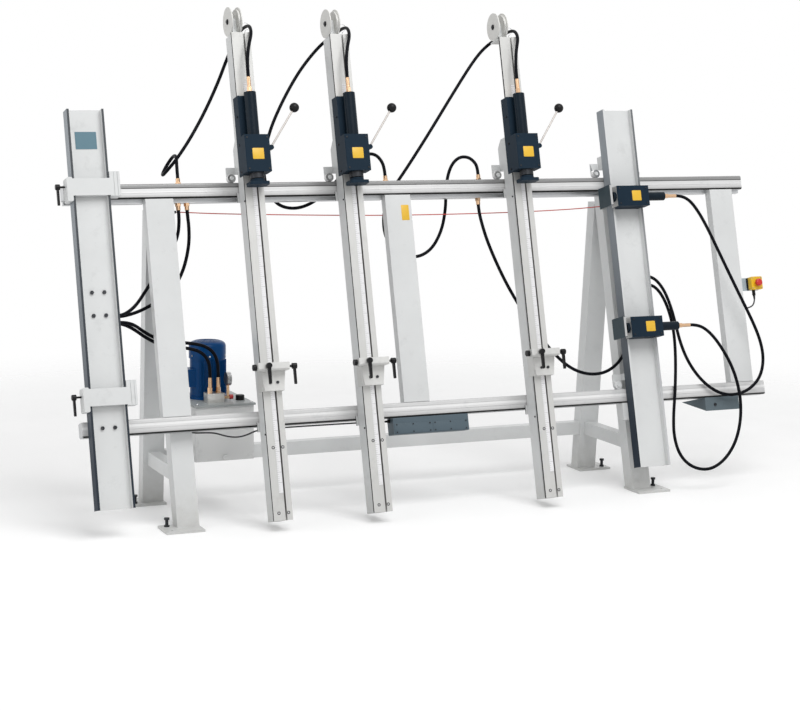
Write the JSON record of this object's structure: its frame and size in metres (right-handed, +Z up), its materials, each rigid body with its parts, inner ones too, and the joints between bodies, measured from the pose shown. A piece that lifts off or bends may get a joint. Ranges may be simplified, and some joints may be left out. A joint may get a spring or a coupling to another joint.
{
  "type": "frame assembly press",
  "caption": "Leaning floor press for wooden window and door frames: sliding hydraulic press heads, side heads, stops and a hydraulic power unit on a steel stand.",
  "frame": {"origin": "centre of the rectangle of floor anchor holes, on the floor", "axes": "+X to the right along the rails seen from the operator's side, +Y to the rear, +Z up"},
  "size_m": [3.8913, 0.9488, 2.4951],
  "materials": {
    "frame_paint": "satin light grey paint",
    "black_steel": "black oxide",
    "rail_aluminium": "anodised",
    "tank_paint": "hammered grey-green paint",
    "motor_blue": "blue enamel on a cast housing",
    "pump_iron": "as cast",
    "valve_alloy": "machined",
    "line_steel": "plated",
    "stop_yellow": "moulded",
    "stop_red": "moulded",
    "hose_rubber": "smooth cover",
    "line_sheath": "sheathed",
    "collar_paint": "satin grey paint",
    "head_paint": "navy-black paint",
    "ram_steel": "ground",
    "reel_plastic": "turned",
    "bright_steel": "plated",
    "ledge_alloy": "milled"
  },
  "bodies": {
    "frame": {"left_stand": "frame_paint", "right_stand": "frame_paint", "rear_stretcher": "frame_paint", "frame_fasteners": "black_steel", "top_rail": "rail_aluminium", "lower_rail": "rail_aluminium", "rail_posts": "frame_paint", "under_rail_boxes": "frame_paint", "left_beam": "frame_paint", "oil_tank": "tank_paint", "tank_lid": "tank_paint", "pump_motor": "motor_blue", "gear_pump": "pump_iron", "tank_fittings": "valve_alloy", "oil_line": "line_steel", "estop_box": "stop_yellow", "supply_hoses": "hose_rubber", "control_lines": "line_sheath", "side_feed_hose": "hose_rubber"},
    "stop_button": {"estop_button": "stop_red"},
    "collar_upper": {"stop_collar_upper": "collar_paint"},
    "collar_upper_lever": {"collar_lever_upper": "black_steel"},
    "collar_lower": {"stop_collar_lower": "collar_paint"},
    "collar_lower_lever": {"collar_lever_lower": "black_steel"},
    "right_carriage": {"right_beam": "frame_paint", "side_hoses": "hose_rubber"},
    "side_upper": {"side_head_upper": "head_paint"},
    "side_upper_ram": {"side_ram_upper": "ram_steel"},
    "side_lower": {"side_head_lower": "head_paint"},
    "side_lower_ram": {"side_ram_lower": "ram_steel"},
    "clamp_1": {"clamp_beam_1": "frame_paint", "clamp_profile_1": "rail_aluminium", "head_hose_1": "hose_rubber"},
    "head_1": {"press_head_1": "head_paint"},
    "ram_1": {"press_ram_1": "ram_steel"},
    "release_1": {"release_lever_1": "bright_steel"},
    "reel_1": {"balance_reel_1": "reel_plastic"},
    "rest_1": {"lower_stop_1": "ledge_alloy"},
    "rest_1_lever": {"stop_lever_1": "black_steel"},
    "rest_1_spindle": {"stop_spindle_1": "black_steel"},
    "clamp_2": {"clamp_beam_2": "frame_paint", "clamp_profile_2": "rail_aluminium", "head_hose_2": "hose_rubber"},
    "head_2": {"press_head_2": "head_paint"},
    "ram_2": {"press_ram_2": "ram_steel"},
    "release_2": {"release_lever_2": "bright_steel"},
    "reel_2": {"balance_reel_2": "reel_plastic"},
    "rest_2": {"lower_stop_2": "ledge_alloy"},
    "rest_2_lever": {"stop_lever_2": "black_steel"},
    "rest_2_spindle": {"stop_spindle_2": "black_steel"},
    "clamp_3": {"clamp_beam_3": "frame_paint", "clamp_profile_3": "rail_aluminium", "head_hose_3": "hose_rubber"},
    "head_3": {"press_head_3": "head_paint"},
    "ram_3": {"press_ram_3": "ram_steel"},
    "release_3": {"release_lever_3": "bright_steel"},
    "reel_3": {"balance_reel_3": "reel_plastic"},
    "rest_3": {"lower_stop_3": "ledge_alloy"},
    "rest_3_lever": {"stop_lever_3": "black_steel"},
    "rest_3_spindle": {"stop_spindle_3": "black_steel"}
  },
  "joints": [
    {"name": "stop_button_press", "type": "slide", "parent": "frame", "child": "stop_button", "axis": [0, 0.9659, -0.2588], "range_m": [0, 0.006], "stiffness_N_per_m": 1500, "springref_m": -0.003},
    {"name": "collar_upper_slide", "type": "slide", "parent": "frame", "child": "collar_upper", "axis": [0, 0.2588, 0.9659], "range_m": [-0.55, 0.3]},
    {"name": "collar_upper_lever_turn", "type": "hinge", "parent": "collar_upper", "child": "collar_upper_lever", "pos_m": [-1.785, -0.00601, 1.63007], "axis": [1, 0, 0], "range_deg": [-60, 60]},
    {"name": "collar_lower_slide", "type": "slide", "parent": "frame", "child": "collar_lower", "axis": [0, 0.2588, 0.9659], "range_m": [-0.45, 0.4]},
    {"name": "collar_lower_lever_turn", "type": "hinge", "parent": "collar_lower", "child": "collar_lower_lever", "pos_m": [-1.785, -0.26535, 0.66222], "axis": [1, 0, 0], "range_deg": [-60, 60]},
    {"name": "right_carriage_slide", "type": "slide", "parent": "frame", "child": "right_carriage", "axis": [1, 0, 0], "range_m": [-0.2, 0.25], "deforming": ["side_feed_hose"]},
    {"name": "side_upper_slide", "type": "slide", "parent": "right_carriage", "child": "side_upper", "axis": [0, 0.2588, 0.9659], "range_m": [-0.5, 0.4], "deforming": ["side_hoses"]},
    {"name": "side_upper_ram_stroke", "type": "slide", "parent": "side_upper", "child": "side_upper_ram", "axis": [-1, 0, 0], "range_m": [0, 0.06], "stiffness_N_per_m": 400, "springref_m": -0.05},
    {"name": "side_lower_slide", "type": "slide", "parent": "right_carriage", "child": "side_lower", "axis": [0, 0.2588, 0.9659], "range_m": [-0.5, 0.45], "deforming": ["side_hoses"]},
    {"name": "side_lower_ram_stroke", "type": "slide", "parent": "side_lower", "child": "side_lower_ram", "axis": [-1, 0, 0], "range_m": [0, 0.06], "stiffness_N_per_m": 400, "springref_m": -0.05},
    {"name": "clamp_1_slide", "type": "slide", "parent": "frame", "child": "clamp_1", "axis": [1, 0, 0], "range_m": [-0.45, 0.13], "deforming": ["head_hose_1"]},
    {"name": "head_1_slide", "type": "slide", "parent": "clamp_1", "child": "head_1", "axis": [0, 0.2588, 0.9659], "range_m": [-0.8, 0.2], "deforming": ["head_hose_1"]},
    {"name": "ram_1_stroke", "type": "slide", "parent": "head_1", "child": "ram_1", "axis": [0, -0.2588, -0.9659], "range_m": [0, 0.09], "stiffness_N_per_m": 600, "springref_m": -0.15},
    {"name": "release_1_turn", "type": "hinge", "parent": "head_1", "child": "release_1", "pos_m": [-0.768, -0.14782, 1.81487], "axis": [0, -0.9659, 0.2588], "range_deg": [-10, 30]},
    {"name": "reel_1_spin", "type": "hinge", "parent": "clamp_1", "child": "reel_1", "pos_m": [-0.845, 0.19599, 2.4226], "axis": [1, 0, 0], "range_deg": [-190, 730]},
    {"name": "rest_1_slide", "type": "slide", "parent": "clamp_1", "child": "rest_1", "axis": [0, 0.2588, 0.9659], "range_m": [-0.45, 0.45]},
    {"name": "rest_1_lever_turn", "type": "hinge", "parent": "rest_1", "child": "rest_1_lever", "pos_m": [-0.887, -0.45157, 0.79406], "axis": [0, -0.9659, 0.2588], "range_deg": [-60, 60]},
    {"name": "rest_1_spindle_turn", "type": "hinge", "parent": "rest_1", "child": "rest_1_spindle", "pos_m": [-0.845, -0.41003, 0.78101], "axis": [1, 0, 0], "range_deg": [-45, 60]},
    {"name": "clamp_2_slide", "type": "slide", "parent": "frame", "child": "clamp_2", "axis": [1, 0, 0], "range_m": [-0.13, 0.55], "deforming": ["head_hose_2"]},
    {"name": "head_2_slide", "type": "slide", "parent": "clamp_2", "child": "head_2", "axis": [0, 0.2588, 0.9659], "range_m": [-0.8, 0.2], "deforming": ["head_hose_2"]},
    {"name": "ram_2_stroke", "type": "slide", "parent": "head_2", "child": "ram_2", "axis": [0, -0.2588, -0.9659], "range_m": [0, 0.09], "stiffness_N_per_m": 600, "springref_m": -0.15},
    {"name": "release_2_turn", "type": "hinge", "parent": "head_2", "child": "release_2", "pos_m": [-0.25, -0.14782, 1.81487], "axis": [0, -0.9659, 0.2588], "range_deg": [-10, 30]},
    {"name": "reel_2_spin", "type": "hinge", "parent": "clamp_2", "child": "reel_2", "pos_m": [-0.327, 0.19599, 2.4226], "axis": [1, 0, 0], "range_deg": [-190, 730]},
    {"name": "rest_2_slide", "type": "slide", "parent": "clamp_2", "child": "rest_2", "axis": [0, 0.2588, 0.9659], "range_m": [-0.45, 0.45]},
    {"name": "rest_2_lever_turn", "type": "hinge", "parent": "rest_2", "child": "rest_2_lever", "pos_m": [-0.369, -0.45157, 0.79406], "axis": [0, -0.9659, 0.2588], "range_deg": [-60, 60]},
    {"name": "rest_2_spindle_turn", "type": "hinge", "parent": "rest_2", "child": "rest_2_spindle", "pos_m": [-0.327, -0.41003, 0.78101], "axis": [1, 0, 0], "range_deg": [-45, 60]},
    {"name": "clamp_3_slide", "type": "slide", "parent": "frame", "child": "clamp_3", "axis": [1, 0, 0], "range_m": [-0.55, 0.25], "deforming": ["head_hose_3"]},
    {"name": "head_3_slide", "type": "slide", "parent": "clamp_3", "child": "head_3", "axis": [0, 0.2588, 0.9659], "range_m": [-0.8, 0.2], "deforming": ["head_hose_3"]},
    {"name": "ram_3_stroke", "type": "slide", "parent": "head_3", "child": "ram_3", "axis": [0, -0.2588, -0.9659], "range_m": [0, 0.09], "stiffness_N_per_m": 600, "springref_m": -0.15},
    {"name": "release_3_turn", "type": "hinge", "parent": "head_3", "child": "release_3", "pos_m": [0.691, -0.14782, 1.81487], "axis": [0, -0.9659, 0.2588], "range_deg": [-10, 30]},
    {"name": "reel_3_spin", "type": "hinge", "parent": "clamp_3", "child": "reel_3", "pos_m": [0.614, 0.19599, 2.4226], "axis": [1, 0, 0], "range_deg": [-190, 730]},
    {"name": "rest_3_slide", "type": "slide", "parent": "clamp_3", "child": "rest_3", "axis": [0, 0.2588, 0.9659], "range_m": [-0.45, 0.45]},
    {"name": "rest_3_lever_turn", "type": "hinge", "parent": "rest_3", "child": "rest_3_lever", "pos_m": [0.572, -0.45157, 0.79406], "axis": [0, -0.9659, 0.2588], "range_deg": [-60, 60]},
    {"name": "rest_3_spindle_turn", "type": "hinge", "parent": "rest_3", "child": "rest_3_spindle", "pos_m": [0.614, -0.41003, 0.78101], "axis": [1, 0, 0], "range_deg": [-45, 60]}
  ],
  "couplings": [
    {"joint": "reel_1_spin", "follows": "head_1_slide", "rad_per_m": -15.748},
    {"joint": "reel_2_spin", "follows": "head_2_slide", "rad_per_m": -15.748},
    {"joint": "reel_3_spin", "follows": "head_3_slide", "rad_per_m": -15.748}
  ]
}
